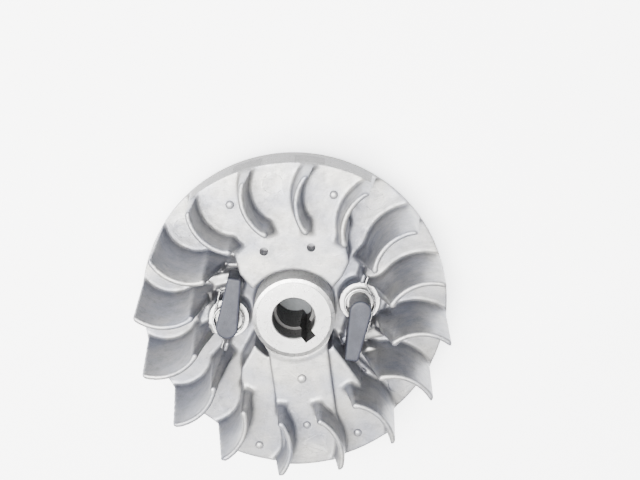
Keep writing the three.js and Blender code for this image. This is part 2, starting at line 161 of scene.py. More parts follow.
CLIP_HIGH_Z = 3.35

SIDES = {"right": 0, "left": 180}


def polar(radius, degrees):
    angle = math.radians(degrees)
    return np.array((radius * math.cos(angle), radius * math.sin(angle)))


def arc(centre, radius, start, end, steps):
    """Points along an arc, both ends included."""
    return [np.array(centre) + polar(radius, angle) for angle in np.linspace(start, end, steps + 1)]


def turned(point, degrees):
    angle = math.radians(degrees)
    x, y = point
    return np.array((x * math.cos(angle) - y * math.sin(angle), x * math.sin(angle) + y * math.cos(angle)))


def from_boss(distance, degrees):
    return polar(BOSS_RADIUS + distance, degrees)


def direction_of(point):
    return math.degrees(math.atan2(point[1], point[0]))


# ---- Solids as signed distances ------------------------------------------------------------------


class Grid:
    """A block of space, in millimetres, on which solids are built up as signed distances."""

    def __init__(self, low, high, cell):
        self.low = np.array(low, np.float32)
        self.cell = cell
        counts = [int((b - a) / cell) + 2 for a, b in zip(low, high)]
        axes = [a + cell * np.arange(n, dtype=np.float32) for a, n in zip(low, counts)]
        self.x = axes[0][:, None, None].astype(np.float32)
        self.y = axes[1][None, :, None].astype(np.float32)
        self.z = axes[2][None, None, :].astype(np.float32)
        self.radius = np.hypot(self.x, self.y)

    def around(self, centre):
        return np.hypot(self.x - centre[0], self.y - centre[1])

    def slab(self, low, high):
        return np.maximum(low - self.z, self.z - high)

    def skin(self, name, distance, smoothing=2):
        """The surface where the distance is zero, as a mesh object in metres."""
        grid = openvdb.FloatGrid(self.cell * 4)
        grid.copyFromArray(np.ascontiguousarray(distance, dtype=np.float32))
        points, triangles, quads = grid.convertToPolygons(isovalue=0.0, adaptivity=0.0)
        points = (points * self.cell + self.low) * MM
        faces = [list(face)[::-1] for face in triangles] + [list(face)[::-1] for face in quads]
        obj = new_object(name, points, faces)
        if smoothing:
            smooth = obj.modifiers.new("smooth", "SMOOTH")
            smooth.factor = 0.5
            smooth.iterations = smoothing
            settle(obj)
        return obj


def smooth_min(a, b, reach):
    """The union of two solids, with a fillet where they meet."""
    overlap = np.maximum(reach - np.abs(a - b), 0)
    return np.minimum(a, b) - overlap * overlap / (4 * reach)


def smooth_max(a, b, reach):
    """The overlap of two solids, with its edges rounded."""
    return -smooth_min(-a, -b, reach)


def outline_distance(points, x, y):
    """Signed distance to a closed outline, negative inside."""
    nearest = np.float32(1e9)
    inside = False
    for (ax, ay), (bx, by) in zip(points, points[1:] + points[:1]):
        ex, ey = bx - ax, by - ay
        along = np.clip(((x - ax) * ex + (y - ay) * ey) / (ex * ex + ey * ey), 0, 1)
        nearest = np.minimum(nearest, np.hypot(x - ax - along * ex, y - ay - along * ey))
        if ay != by:
            inside = inside ^ (((ay > y) != (by > y)) & (x < ex * (y - ay) / ey + ax))
    return np.where(inside, -nearest, nearest).astype(np.float32)


def path_distance(points, x, y):
    """Distance to an open bent line."""
    nearest = np.float32(1e9)
    for (ax, ay), (bx, by) in zip(points, points[1:]):
        ex, ey = bx - ax, by - ay
        along = np.clip(((x - ax) * ex + (y - ay) * ey) / (ex * ex + ey * ey), 0, 1)
        nearest = np.minimum(nearest, np.hypot(x - ax - along * ex, y - ay - along * ey))
    return nearest


# ---- Meshes --------------------------------------------------------------------------------------


def new_object(name, points, faces):
    mesh = bpy.data.meshes.new(name)
    mesh.from_pydata([tuple(map(float, p)) for p in points], [], faces)
    mesh.validate()
    mesh.update()
    obj = bpy.data.objects.new(name, mesh)
    bpy.context.collection.objects.link(obj)
    return obj


def settle(obj):
    """Turns the modifiers' result into the object's own mesh."""
    evaluated = obj.evaluated_get(bpy.context.evaluated_depsgraph_get())
    mesh = bpy.data.meshes.new_from_object(evaluated)
    obj.modifiers.clear()
    obj.data = mesh
    mesh.name = obj.name


def carve(obj, tools, operation="DIFFERENCE"):
    """Cuts the tools out of the object, or joins them to it. The tools must not touch each other."""
    tool = merged("tool", tools)
    for material in obj.data.materials:
        tool.data.materials.append(material)
    modifier = obj.modifiers.new("carve", "BOOLEAN")
    modifier.operation = operation
    modifier.solver = "MANIFOLD"
    modifier.object = tool
    settle(obj)
    bpy.data.objects.remove(tool)


def merged(name, parts):
    """One object out of several lists of points and faces, each with its material's index."""
    points, faces, indices = [], [], []
    for part_points, part_faces, index in parts:
        start = len(points)
        points += [tuple(p) for p in part_points]
        faces += [[start + i for i in face] for face in part_faces]
        indices += index if isinstance(index, list) else [index] * len(part_faces)
    obj = new_object(name, points, faces)
    obj.data.polygons.foreach_set("material_index", indices)
    return obj


def lathe(profile, centre=(0, 0), segments=96, index=0):
    """A solid turned from (radius, z) corners in millimetres, listed with the solid on their left.
    The material's index is one for all its bands, or a list with one for each."""
    points, rings = [], []
    for radius, z in profile:
        if radius == 0:
            rings.append([len(points)])
            points.append((centre[0] * MM, centre[1] * MM, z * MM))
            continue
        rings.append(list(range(len(points), len(points) + segments)))
        for step in range(segments):
            x, y = polar(radius, 360 * step / segments)
            points.append(((centre[0] + x) * MM, (centre[1] + y) * MM, z * MM))
    faces = []
    closed = profile[0][0] != 0
    pairs = list(zip(rings, rings[1:])) + ([(rings[-1], rings[0])] if closed else [])
    for low, high in pairs:
        for step in range(segments):
            after = (step + 1) % segments
            if len(low) == 1:
                faces.append([low[0], high[after], high[step]])
            elif len(high) == 1:
                faces.append([low[step], low[after], high[0]])
            else:
                faces.append([low[step], low[after], high[after], high[step]])
    if isinstance(index, list):
        index = [band for band in index for _ in range(segments)]
    return points, faces, index


def stack(outlines, index=0):
    """A solid through outlines of equal length at given heights: [(z, points), ...], bottom first."""
    points = [(x * MM, y * MM, z * MM) for z, outline in outlines for x, y in outline]
    count = len(outlines[0][1])
    faces = [list(range(count))[::-1]]
    for level in range(len(outlines) - 1):
        start = level * count
        for step in range(count):
            after = (step + 1) % count
            faces.append([start + step, start + after, start + count + after, start + count + step])
    faces.append([(len(outlines) - 1) * count + step for step in range(count)])
    return points, faces, index


def block(low, high, turn=0, index=0):
    """A box from its low to its high corner in millimetres, then turned about the wheel's axis."""
    (x0, y0, z0), (x1, y1, z1) = low, high
    outline = [turned(p, turn) for p in ((x0, y0), (x1, y0), (x1, y1), (x0, y1))]
    return stack([(z0, outline), (z1, outline)], index)


def shade(obj, sharp_degrees):
    """Smooth shading between sharp edges, with the larger faces setting the direction."""
    obj.data.shade_smooth()
    obj.data.set_sharp_from_angle(angle=math.radians(sharp_degrees))
    weighted = obj.modifiers.new("weighted normals", "WEIGHTED_NORMAL")
    weighted.keep_sharp = True
    settle(obj)


def thin_out(obj, share):
    modifier = obj.modifiers.new("thin out", "DECIMATE")
    modifier.ratio = share
    settle(obj)


# ---- Materials -----------------------------------------------------------------------------------

STEEL_GLOSS = {"Metallic": 1.0}
FACE_GLOSS = {"Metallic": 0.85}
WALL_GLOSS = {"Metallic": 0.35, "Specular IOR Level": 0.03, "Specular Tint": (0.3, 0.3, 0.32, 1)}


class Finish:
    """A procedural material: helpers that add nodes and link them."""

    def __init__(self, name, scene_values):
        self.material = bpy.data.materials.new(name)
        self.material.use_nodes = True
        self.nodes = self.material.node_tree.nodes
        self.shader = self.nodes["Principled BSDF"]
        for socket, value in scene_values.items():
            self.shader.inputs[socket].default_value = value
        self.place = self.nodes.new("ShaderNodeTexCoord").outputs["Object"]

    def link(self, source, target):
        self.material.node_tree.links.new(source, target)

    def moved(self, location=(0, 0, 0), scale=(1, 1, 1)):
        mapping = self.nodes.new("ShaderNodeMapping")
        mapping.inputs["Location"].default_value = location
        mapping.inputs["Scale"].default_value = scale
        self.link(self.place, mapping.inputs["Vector"])
        return mapping.outputs["Vector"]

    def noise(self, size_mm, detail=3, roughness=0.55, place=None):
        noise = self.nodes.new("ShaderNodeTexNoise")
        noise.inputs["Scale"].default_value = 1 / (size_mm * MM)
        noise.inputs["Detail"].default_value = detail
        noise.inputs["Roughness"].default_value = roughness
        self.link(place or self.place, noise.inputs["Vector"])
        return noise.outputs["Fac"]

    def turning_marks(self, spacing_mm, place, on_wall):
        """Fine grooves from a lathe: rings round Z on a face, and bands up Z on a wall."""
        wave = self.nodes.new("ShaderNodeTexWave")
        wave.wave_type = "BANDS" if on_wall else "RINGS"
        wave.rings_direction = "Z"
        wave.bands_direction = "Z"
        wave.inputs["Scale"].default_value = 0.314 / (spacing_mm * MM)
        wave.inputs["Distortion"].default_value = 0.6
        self.link(place, wave.inputs["Vector"])
        return wave.outputs["Fac"]

    def edges(self):
        """High on outer edges, half on flat faces and low in creases."""
        return self.nodes.new("ShaderNodeNewGeometry").outputs["Pointiness"]

    def facing_up(self):
        """The surface's own direction: near 1 on level faces and near 0 on upright walls."""
        place = self.nodes.new("ShaderNodeTexCoord")
        height = self.nodes.new("ShaderNodeSeparateXYZ")
        self.link(place.outputs["Normal"], height.inputs["Vector"])
        return height.outputs["Z"]

    def crevices(self, reach_mm):
        """Low where nearby surfaces close the place in, and near 1 in the open."""
        occlusion = self.nodes.new("ShaderNodeAmbientOcclusion")
        occlusion.inputs["Distance"].default_value = reach_mm * MM
        occlusion.samples = 8
        occlusion.only_local = True
        return occlusion.outputs["AO"]

    def ramp(self, value, stops):
        ramp = self.nodes.new("ShaderNodeValToRGB")
        elements = ramp.color_ramp.elements
        while len(elements) < len(stops):
            elements.new(0.5)
        for element, (position, colour) in zip(elements, stops):
            element.position = position
            element.color = (*colour, 1) if len(colour) == 3 else (colour[0],) * 3 + (1,)
        self.link(value, ramp.inputs["Fac"])
        return ramp.outputs["Color"]

    def blend(self, mode, share, a, b):
        mix = self.nodes.new("ShaderNodeMix")
        mix.data_type = "RGBA"
        mix.blend_type = mode
        mix.inputs["Factor"].default_value = share
        self.link(a, mix.inputs["A"])
        self.link(b, mix.inputs["B"])
        return mix.outputs["Result"]

    def bump(self, heights):
        """Chains (height, depth in mm) pairs into the shader's normal."""
        normal = None
        for height, depth in heights:
            bump = self.nodes.new("ShaderNodeBump")
            bump.inputs["Distance"].default_value = depth * MM
            self.link(height, bump.inputs["Height"])
            if normal:
                self.link(normal, bump.inputs["Normal"])
            normal = bump.outputs["Normal"]
        self.link(normal, self.shader.inputs["Normal"])

    def use(self, value, socket):
        self.link(value, self.shader.inputs[socket])


def cast_aluminium():
    finish = Finish("cast_aluminium", {"Metallic": 0.6, "Specular IOR Level": 0.4})
    clouds = finish.ramp(
        finish.noise(14, 4, 0.6),
        [(0.36, (0.32, 0.33, 0.365)), (0.5, (0.40, 0.40, 0.402)), (0.64, (0.47, 0.462, 0.435))],
    )
    stains = finish.ramp(finish.noise(3.2, 6, 0.7), [(0.34, (0.5,)), (0.5, (1.0,)), (0.7, (1.0,))])
    grain = finish.ramp(finish.noise(0.5, 2, 0.5), [(0.3, (0.86,)), (0.6, (1.0,))])
    colour = finish.blend("MULTIPLY", 0.5, clouds, stains)
    colour = finish.blend("MULTIPLY", 1.0, colour, grain)
    # Painted shade: ambient occlusion darkens creases, recesses and the gaps between blades with a bluish
    # grey.
    painted_crevice_shade = finish.ramp(finish.crevices(16), [(0.2, (0.60, 0.61, 0.66)), (0.9, (0.97, 0.97, 0.97))])
    colour = finish.blend("MULTIPLY", 1.0, colour, painted_crevice_shade)
    # Painted shade: upright walls are darker and bluer than level faces, as if lit only from above.
    walls = finish.ramp(finish.facing_up(), [(0.25, (0.74, 0.75, 0.80)), (0.75, (0.98, 0.98, 0.98))])
    colour = finish.blend("MULTIPLY", 1.0, colour, walls)
    # Painted highlight on outer edges and painted shade in creases, from the mesh's pointiness, with flat
    # faces in between.
    edges = finish.ramp(finish.edges(), [(0.44, (0.56, 0.57, 0.61)), (0.5, (0.78,)), (0.57, (1.0,))])
    finish.use(finish.blend("MULTIPLY", 1.0, colour, edges), "Base Color")
    finish.use(finish.ramp(finish.noise(2.5, 4, 0.6), [(0.3, (0.36,)), (0.7, (0.52,))]), "Roughness")
    finish.bump([
        (finish.noise(4, 3, 0.5), 0.12),
        (finish.noise(0.45, 3, 0.6), 0.05),
    ])
    return finish.material


def machined_aluminium(name, centre, brightness, on_wall=False):
    finish = Finish(name, WALL_GLOSS if on_wall else FACE_GLOSS)
    place = finish.moved(location=(-centre[0] * MM, -centre[1] * MM, 0))
    marks = finish.turning_marks(0.28, place, on_wall)
    tone = finish.ramp(marks, [(0.0, (brightness * 0.9,)), (1.0, (brightness,))])
    spots = finish.ramp(finish.noise(1.8, 2, 0.5), [(0.35, (0.9,)), (0.6, (1.0,))])
    finish.use(finish.blend("MULTIPLY", 1.0, tone, spots), "Base Color")
    finish.use(finish.ramp(finish.noise(1.1, 3, 0.6), [(0.3, (0.24,)), (0.7, (0.4,))]), "Roughness")
    finish.bump([(marks, 0.006), (finish.noise(0.3, 2, 0.5), 0.006)])
    return finish.material


def pawl_plastic():
    finish = Finish("pawl_plastic", {"Specular IOR Level": 0.3})
    clouds = finish.ramp(
        finish.noise(5, 3, 0.6),
        [(0.35, (0.020, 0.022, 0.032)), (0.65, (0.031, 0.034, 0.047))],
    )
    fibres = finish.ramp(
        finish.noise(0.35, 3, 0.7, finish.moved(scale=(1, 1, 0.35))),
        [(0.42, (0.75,)), (0.6, (1.0,)), (0.72, (1.0,))],
    )
    finish.use(finish.blend("MULTIPLY", 1.0, clouds, fibres), "Base Color")
    finish.use(finish.ramp(finish.noise(1.5, 4, 0.6), [(0.3, (0.42,)), (0.7, (0.6,))]), "Roughness")
    finish.bump([(finish.noise(0.25, 3, 0.6), 0.025)])
    return finish.material


def bright_steel(name, tone, roughness, grain_mm=0.4, gloss=STEEL_GLOSS):
    finish = Finish(name, gloss)
    patches = finish.ramp(
        finish.noise(2.2, 4, 0.6),
        [(0.35, (tone * 0.82, tone * 0.82, tone * 0.84)), (0.65, (tone, tone, tone))],
    )
    specks = finish.ramp(finish.noise(grain_mm, 2, 0.5), [(0.35, (0.86,)), (0.6, (1.0,))])
    finish.use(finish.blend("MULTIPLY", 1.0, patches, specks), "Base Color")
    finish.use(
        finish.ramp(finish.noise(1.0, 3, 0.6), [(0.3, (roughness * 0.8,)), (0.7, (roughness * 1.2,))]),
        "Roughness",
    )
    finish.bump([(finish.noise(grain_mm, 3, 0.6), 0.01)])
    return finish.material


def sintered_magnet():
    finish = Finish("sintered_magnet", {"Metallic": 0.5})
    finish.use(
        finish.ramp(finish.noise(0.8, 5, 0.7), [(0.35, (0.05, 0.05, 0.055)), (0.65, (0.11, 0.11, 0.115))]),
        "Base Color",
    )
    finish.use(finish.ramp(finish.noise(0.5, 3, 0.6), [(0.3, (0.5,)), (0.7, (0.75,))]), "Roughness")
    finish.bump([(finish.noise(0.2, 3, 0.7), 0.03)])
    return finish.material


def pale_paper():
    finish = Finish(
        "pale_paper",
        {
            "Specular IOR Level": 0.1,
            "Roughness": 0.8,
            "Emission Color": (0.97, 0.985, 1.0, 1),
            "Emission Strength": 2.0,
        },
    )
    finish.use(
        finish.ramp(finish.noise(60, 3, 0.5), [(0.3, (0.93, 0.935, 0.94)), (0.7, (0.96, 0.965, 0.97))]),
        "Base Color",
    )
    finish.bump([(finish.noise(0.6, 2, 0.5), 0.01)])
    return finish.material


# A dark grey that stands in for shadow: painted shade for the disc under the hub.
def painted_shadow_grey():
    finish = Finish("painted_shadow_grey", {"Specular IOR Level": 0.2})
    finish.use(
        finish.ramp(finish.noise(2, 3, 0.6), [(0.3, (0.13, 0.14, 0.15)), (0.7, (0.17, 0.18, 0.19))]),
        "Base Color",
    )
    finish.use(finish.ramp(finish.noise(0.8, 3, 0.6), [(0.3, (0.6,)), (0.7, (0.8,))]), "Roughness")
    finish.bump([(finish.noise(0.4, 3, 0.6), 0.02)])
    return finish.material


CAST = 0
HUB_TURNED = 1
BOSS_RIGHT_TURNED = 2
BOSS_LEFT_TURNED = 3
BORE_TURNED = 4
RIM_TURNED = 5
HUB_WALL_PAINTED_LIGHT = 6
casting_materials = [
    cast_aluminium(),
    machined_aluminium("machined_hub", (0, 0), 0.38),
    machined_aluminium("machined_boss_right", (PIVOT_X, 0), 0.5),
    machined_aluminium("machined_boss_left", (-PIVOT_X, 0), 0.5),
    # The bore's very dark tone is painted shade, standing in for the shadow inside the bore.
    machined_aluminium("machined_bore_painted_shade", (0, 0), 0.08, on_wall=True),
    # The rim's dark tone is painted shade on the turned outer wall.
    machined_aluminium("machined_rim_painted_shade", (0, 0), 0.15, on_wall=True),
    # The hub wall's bright tone is painted light against the shade in the moat.
    machined_aluminium("machined_hub_wall_painted_light", (0, 0), 0.75, on_wall=True),
]

# ---- The casting ---------------------------------------------------------------------------------


def blade_angle(number):
    return FIRST_BLADE_ANGLE + 360 * number / BLADE_COUNT


def blade_middle_line(number, start, end, steps=8):
    line = arc(BLADE_CENTRE, BLADE_ARC_RADIUS, start, end, steps)
    return [turned(point, blade_angle(number)) for point in line]


def blades_distance(grid):
    """All the blades at once: each place is folded round to the first blade's own frame."""
    step = 2 * math.pi / BLADE_COUNT
    first = math.radians(FIRST_BLADE_ANGLE)
    fold = first + step * np.round((np.arctan2(grid.y, grid.x) - first) / step)
    u = grid.x * np.cos(fold) + grid.y * np.sin(fold)
    v = grid.y * np.cos(fold) - grid.x * np.sin(fold)
    from_centre = (u - BLADE_CENTRE[0], v - BLADE_CENTRE[1])
    across = np.hypot(*from_centre) - BLADE_ARC_RADIUS
    along = BLADE_ARC_RADIUS * (math.radians(BLADE_INNER_END) - np.arctan2(*from_centre[::-1]))
    rise = (grid.z - FLOOR_Z) / (OVERALL_HEIGHT - FLOOR_Z)
    lead = BLADE_FOOT_LEAD_HALF + (BLADE_TOP_HALF - BLADE_FOOT_LEAD_HALF) * rise + SMOOTHING_LOSS
    trail = BLADE_FOOT_TRAIL_HALF + (BLADE_TOP_HALF - BLADE_FOOT_TRAIL_HALF) * rise + SMOOTHING_LOSS
    blade = np.maximum(across - lead, -across - trail)
    blade = smooth_max(blade, -along, BLADE_END_ROUND)

    # The inner end slopes out to a root nearer the hub, leaving room for the pawls to swing
    root = path_distance([ROOT_START, ROOT_END], u, v) - (lead + trail) / 2
    slope = grid.z - OVERALL_HEIGHT + ROOT_STEEPNESS * (ROOT_TOP_RADIUS - u)
    slope = slope / math.hypot(1, ROOT_STEEPNESS)
    root = smooth_max(root, slope, ROOT_ROUND)
    root = smooth_max(root, -pawl_room(grid), 0.5)
    blade = smooth_min(blade, root, ROOT_FILLET)

    blade = smooth_max(blade, grid.radius - DISC_RADIUS + rise, BLADE_TIP_ROUND)
    blade = smooth_max(blade, grid.z - OVERALL_HEIGHT, BLADE_TOP_ROUND)
    return np.maximum(blade, FLOOR_Z - 1.5 - grid.z)


def pawl_outline():
    """The lever seen along its pin, pointing along +X: a round head tapering to the tip."""
    taper = math.degrees(math.asin((PAWL_HEAD_RADIUS - PAWL_TIP_HALF) / PAWL_LENGTH))
    outline = arc((0, 0), PAWL_HEAD_RADIUS, 90 - taper, 270 + taper, 20)
    for side in (-1, 1):
        corner = (PAWL_LENGTH - PAWL_TIP_ROUND, side * (PAWL_TIP_HALF - PAWL_TIP_ROUND))
        outline += arc(corner, PAWL_TIP_ROUND, 45 * side - 45, 45 * side + 45, 5)
    return outline


def pawl_room(grid):
    """The space both pawls and their springs sweep, with a clearance all round."""
    clearance = 0.5
    room = np.float32(1e9)
    for turn in SIDES.values():
        x, y = turned_field(grid, turn)
        room = np.minimum(room, np.hypot(x, y) - COIL_RADIUS - WIRE_RADIUS)
        for swing in range(0, PAWL_SWING + 1, 10):
            lever = [turned(point, PAWL_REST_ANGLE + swing) for point in pawl_outline()]
            room = np.minimum(room, outline_distance(lever, x, y))
    return np.maximum(room - clearance, BOSS_TOP_Z - grid.z)


def deck_outline(first, last, first_corners, last_corners):
    """From the moat to beyond the rim, between two blades' middle lines."""
    side_start, side_end, beyond = BLADE_INNER_END - 12, 50, DISC_RADIUS + 6
    first_side = blade_middle_line(first, side_start, side_end)
    last_side = blade_middle_line(last, side_start, side_end)
    rim = arc((0, 0), beyond, direction_of(first_side[-1]), direction_of(last_side[-1]), 12)
    moat = arc((0, 0), MOAT_RADIUS, direction_of(last_corners[0]), direction_of(first_corners[0]), 12)
    return first_corners[1:] + first_side + rim + last_side[::-1] + last_corners[:0:-1] + moat


def from_moat(distance, degrees):
    return polar(MOAT_RADIUS + distance, degrees)


def casting_distance(grid):
    radius, z = grid.radius, grid.z
    skin = MACHINING_ALLOWANCE

    disc = smooth_max(radius - DISC_RADIUS - skin, grid.slab(RIM_BACK_Z, FLOOR_Z), 0.6)
    recess = np.abs(radius - RECESS_MIDDLE_RADIUS) - RECESS_HALF_WIDTH
    recess = smooth_max(recess, z - RIM_BACK_Z - RECESS_DEPTH, 1)
    spoke_step = 2 * math.pi / SPOKE_COUNT
    spoke = np.arctan2(grid.y, grid.x)
    spoke = np.abs(spoke - spoke_step * np.round(spoke / spoke_step)) * radius
    recess = smooth_max(recess, SPOKE_HALF - spoke, 1)
    pads = np.minimum(grid.around((PIVOT_X, 0)), grid.around((-PIVOT_X, 0)))
    recess = smooth_max(recess, PAD_RADIUS - pads, 1)
    casting = smooth_max(disc, -recess, 0.8)

    decks = [
        deck_outline(
            2, 5,
            [polar(MOAT_RADIUS, 31), from_moat(4.6, 33.5), from_moat(9.5, 38.5), from_moat(11.8, 44.6)],
            [polar(MOAT_RADIUS, 137), from_moat(6.2, 132.8), from_moat(10, 126.8), from_moat(13.1, 123.5)],
        ),
        deck_outline(
            10, 13,
            [polar(MOAT_RADIUS, -151), from_moat(8.5, -141.7), from_moat(11.3, -136.8)],
            [polar(MOAT_RADIUS, -44.7), from_moat(15, -53.4)],
        ),
    ]
    for outline in decks:
        plan = smooth_max(outline_distance(outline, grid.x, grid.y), radius - DISC_RADIUS - skin, 0.5)
        walls = plan + DECK_DRAFT * (z - DECK_Z)
        deck = smooth_max(walls, grid.slab(FLOOR_Z - 1, DECK_Z), DECK_EDGE_ROUND)
        casting = smooth_min(casting, deck, DECK_FILLET)

    strip_plan = np.maximum(np.abs(grid.x) - STRIP_HALF_WIDTH, radius - DISC_RADIUS - skin)
    strip_plan = np.maximum(strip_plan, grid.y + HUB_RADIUS / 2)
    strip = smooth_max(strip_plan, grid.slab(FLOOR_Z - 1, STRIP_Z), STRIP_ROUND)
    casting = smooth_min(casting, strip, STRIP_ROUND)

    hub_taper = (HUB_RADIUS - HUB_BACK_RADIUS) * np.clip(1 - z / RIM_BACK_Z, 0, 1)
    hub = np.maximum(radius - HUB_RADIUS + hub_taper, grid.slab(-skin, HUB_TOP_Z + skin))
    casting = smooth_min(casting, hub, HUB_FILLET)

    for turn in SIDES.values():
        x, y = turned_field(grid, turn)
        boss = np.maximum(np.hypot(x, y) - BOSS_RADIUS, grid.slab(BOSS_BACK_Z - skin, BOSS_TOP_Z + skin))
        casting = smooth_min(casting, boss, BOSS_FILLET)
        for points, half, top in station_ribs():
            plan = path_distance(points, x, y) - half + RIB_DRAFT * (z - top)
            wall = smooth_max(plan, grid.slab(FLOOR_Z - 1, top), RIB_ROUND)
            casting = smooth_min(casting, wall, RIB_FILLET)
        for outline, top in station_webs():
            plan = outline_distance(outline, x, y) + WEB_DRAFT * (z - top)
            web = smooth_max(plan, grid.slab(FLOOR_Z - 1, top), WEB_ROUND)
            casting = smooth_min(casting, web, WEB_FILLET)

    casting = smooth_min(casting, blades_distance(grid), BLADE_FILLET)
    return np.maximum(casting, radius - DISC_RADIUS - skin)


def turned_field(grid, turn):
    """Coordinates from one side's pivot, with the hub on its -X side."""
    way = 1 if turn == 0 else -1
    return way * grid.x - PIVOT_X, way * grid.y


def station_ribs():
    """The low walls round one pawl boss: (points from the pivot, half thickness, top height)."""
    return [
        ([from_boss(1.36, 78.5), from_boss(3.29, 76)], RIB_HALF, 23.2),
        ([from_boss(1.46, -121.5), from_boss(6, -118.4), from_boss(3.43, -77.7)], RIB_HALF, 19.5),
        ([np.array((-6.1, -17.1)), np.array((-2.9, -17.6))], 0.75, 19.4),
        ([np.array((-3.4, -21.7)), np.array((-0.7, -25.1)), np.array((2.2, -28.5))], 0.8, 15.2),
    ]


def station_webs():
    """The filled corners round one pawl boss: (outline from the pivot, top height)."""
    return [
        ([np.array(p) for p in ((3, 5), (7.6, 3.6), (10.4, 0.6), (7.4, -4.6), (3, -5))], 17.2),
        ([np.array(p) for p in ((-7.6, -12.6), (2.4, -9.4), (6.8, -13.8), (-7.2, -14.8))], 17.0),
    ]


def disc_of(radius, low, high, centre, index, segments=40):
    return lathe([(0, low), (radius, low), (radius, high), (0, high)], centre, segments, index)


CASTING_TRIANGLES = 150000


def build_casting():
    grid = Grid((-51.6, -51.6, -1.6), (51.6, 51.6, 41.2), cell=0.4)
    casting = grid.skin("casting", casting_distance(grid))
    thin_out(casting, min(1, CASTING_TRIANGLES / (2 * len(casting.data.polygons))))
    for material in casting_materials:
        casting.data.materials.append(material)

    hub_cut = lathe(
        [
            (0, -3), (TAPER_BACK_RADIUS + 0.19, -3), (TAPER_FRONT_RADIUS, COUNTERBORE_FLOOR_Z),
            (COUNTERBORE_RADIUS, COUNTERBORE_FLOOR_Z), (COUNTERBORE_RADIUS, HUB_TOP_Z - BORE_CHAMFER),
            (COUNTERBORE_RADIUS + BORE_CHAMFER, HUB_TOP_Z), (HUB_RADIUS - HUB_CHAMFER_WIDTH, HUB_TOP_Z),
            (HUB_RADIUS - 1.1, HUB_TOP_Z - 0.15), (HUB_RADIUS + 0.1, HUB_TOP_Z - 0.45),
            (HUB_RADIUS + 0.1, OVERALL_HEIGHT), (0, OVERALL_HEIGHT),
        ],
        index=[BORE_TURNED] * 4 + [HUB_TURNED] * 6,
    )
    boss_cuts = [
        lathe(
            [
                (0, 1), (BOSS_RADIUS + 0.6, 1), (BOSS_RADIUS + 0.6, BOSS_BACK_Z),
                (BORE_RADIUS + BORE_EDGE, BOSS_BACK_Z), (BORE_RADIUS, BOSS_BACK_Z + BORE_EDGE),
                (BORE_RADIUS, BOSS_TOP_Z - BORE_EDGE), (BORE_RADIUS + BORE_EDGE, BOSS_TOP_Z),
                (BOSS_RADIUS + 0.35, BOSS_TOP_Z), (BOSS_RADIUS + 0.35, 22), (0, 22),
            ],
            (way * PIVOT_X, 0),
            segments=64,
            index=index,
        )
        for way, index in ((1, BOSS_RIGHT_TURNED), (-1, BOSS_LEFT_TURNED))
    ]
    rim_cut = lathe(
        [
            (DISC_RADIUS - RIM_CHAMFER, RIM_BACK_Z - 2), (DISC_RADIUS + 4, RIM_BACK_Z - 2),
            (DISC_RADIUS + 4, OVERALL_HEIGHT + 2), (DISC_RADIUS, OVERALL_HEIGHT + 2),
            (DISC_RADIUS, RIM_BACK_Z - 0.1 + RIM_CHAMFER), (DISC_RADIUS - RIM_CHAMFER, RIM_BACK_Z - 0.1),
        ],
        segments=192,
        index=RIM_TURNED,
    )
    pits = [
        disc_of(DECK_PIT_RADIUS, DECK_Z - DECK_PIT_DEPTH, DECK_Z + 1, polar(radius, angle), CAST)
        for radius, angle in DECK_PITS
    ]
    carve(casting, [hub_cut, *boss_cuts, rim_cut, *pits, *ejector_rings()])

    keyway = block(
        (0, -KEYWAY_WIDTH / 2, -1),
        (KEYWAY_REACH, KEYWAY_WIDTH / 2, HUB_TOP_Z + 1),
        KEYWAY_ANGLE,
        BORE_TURNED,
    )
    shoe_middle = (SHOE_INNER_X + SHOE_OUTER_X) / 2
    shoe_half = (SHOE_OUTER_X - SHOE_INNER_X) / 2 + INSERT_GAP
    shoe_slots = [
        block(
            (side * shoe_middle - shoe_half, INSERT_INNER_Y - INSERT_GAP, INSERT_LOW_Z - INSERT_GAP),
            (side * shoe_middle + shoe_half, DISC_RADIUS + 2, INSERT_HIGH_Z + INSERT_GAP),
            MAGNET_ANGLE - 90,
        )
        for side in (1, -1)
    ]
    back_face = disc_of(HUB_RADIUS + 2, -2, 0, (0, 0), HUB_TURNED, 64)
    carve(casting, [keyway, *shoe_slots])
    slot_half = SHOE_INNER_X + MAGNET_SIDE_GAP
    magnet_slot = block(
        (-slot_half, INSERT_INNER_Y - INSERT_GAP, INSERT_LOW_Z - INSERT_GAP),
        (slot_half, INSERT_INNER_Y + MAGNET_DEPTH + INSERT_GAP, INSERT_HIGH_Z + INSERT_GAP),
        MAGNET_ANGLE - 90,
    )
    carve(casting, [back_face, magnet_slot])
    carve(casting, nubs(), "UNION")
    paint_hub_wall_light(casting.data)
    shade(casting, sharp_degrees=40)
    nodes = ["rim_disc", "hub", "magnet_sector", "balance_sector"]
    nodes += [f"fan_blade_{number + 1:02d}" for number in range(BLADE_COUNT)]
    nodes += [f"{part}_{side}" for part in ("pawl_boss", "spring_stop", "post_guide") for side in SIDES]
    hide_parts(*nodes)
    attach(casting, "flywheel")


def paint_hub_wall_light(mesh):
    """The hub's outer wall on the fan side, down to the fillet at its root, gets a bright machined
    material: painted light that lifts it out of the moat's shade.
    """
    centres = np.empty(3 * len(mesh.polygons), np.float32)
    mesh.polygons.foreach_get("center", centres)
    x, y, z = centres.reshape(-1, 3).T / MM
    indices = np.empty(len(mesh.polygons), np.int32)
    mesh.polygons.foreach_get("material_index", indices)
    tolerance, root_fillet = 0.4, 1.2
    on_wall = np.abs(np.hypot(x, y) - HUB_RADIUS) < tolerance
    on_wall &= (z > FLOOR_Z + root_fillet) & (z < HUB_TOP_Z)
    indices[on_wall & (indices == CAST)] = HUB_WALL_PAINTED_LIGHT
    mesh.polygons.foreach_set("material_index", indices)


